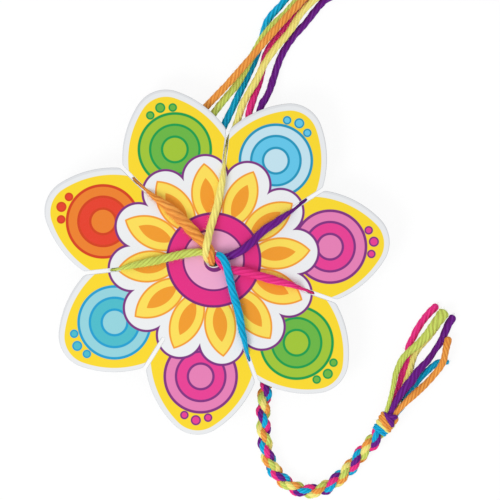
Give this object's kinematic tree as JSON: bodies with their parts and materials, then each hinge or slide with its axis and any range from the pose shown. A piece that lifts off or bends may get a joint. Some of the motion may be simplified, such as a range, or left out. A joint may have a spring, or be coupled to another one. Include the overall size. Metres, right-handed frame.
{
  "type": "bracelet maker",
  "caption": "Flower-shaped slotted braiding disc with coloured yarns strung from a middle hole to its slits and a half-made round friendship bracelet.",
  "frame": {"origin": "centre of the flower disc, half way through its thickness, on the axis of the middle hole", "axes": "+Z along the hole's axis, out of the printed front; +X and +Y lie in the disc, with the yarn tails leaving towards +Y and the braid lying towards -Y"},
  "size_m": [0.1675, 0.2328, 0.0118],
  "materials": {
    "grey_board": "pressed board, matt, pale cut edge",
    "printed_sheet": "satin print",
    "yarn_orange": "soft twisted cotton",
    "yarn_lime": "soft twisted cotton",
    "yarn_blue": "soft twisted cotton",
    "yarn_yellow": "soft twisted cotton",
    "yarn_pink": "soft twisted cotton",
    "yarn_purple": "soft twisted cotton",
    "braided_yarn": "six colours of cotton braided round"
  },
  "bodies": {
    "disc": {"board": "grey_board", "printed_face": "printed_sheet", "strand_orange": "yarn_orange", "strand_lime": "yarn_lime", "strand_blue": "yarn_blue", "strand_yellow": "yarn_yellow", "strand_pink": "yarn_pink", "strand_purple": "yarn_purple", "tail_orange": "yarn_orange", "tail_lime": "yarn_lime", "tail_blue": "yarn_blue", "tail_yellow": "yarn_yellow", "tail_pink": "yarn_pink", "tail_purple": "yarn_purple", "coil_orange": "yarn_orange", "coil_lime": "yarn_lime", "coil_blue": "yarn_blue", "coil_yellow": "yarn_yellow", "coil_pink": "yarn_pink", "coil_purple": "yarn_purple"},
    "bracelet": {"braid": "braided_yarn", "knot": "braided_yarn", "tassel_orange": "yarn_orange", "tassel_lime": "yarn_lime", "tassel_blue": "yarn_blue", "tassel_yellow": "yarn_yellow", "tassel_pink": "yarn_pink", "tassel_purple": "yarn_purple"}
  },
  "joints": [
    {"name": "braid_swing", "type": "hinge", "parent": "disc", "child": "bracelet", "pos_m": [0, 0, 0], "axis": [0, 0, 1], "range_deg": [-90, 60]}
  ]
}
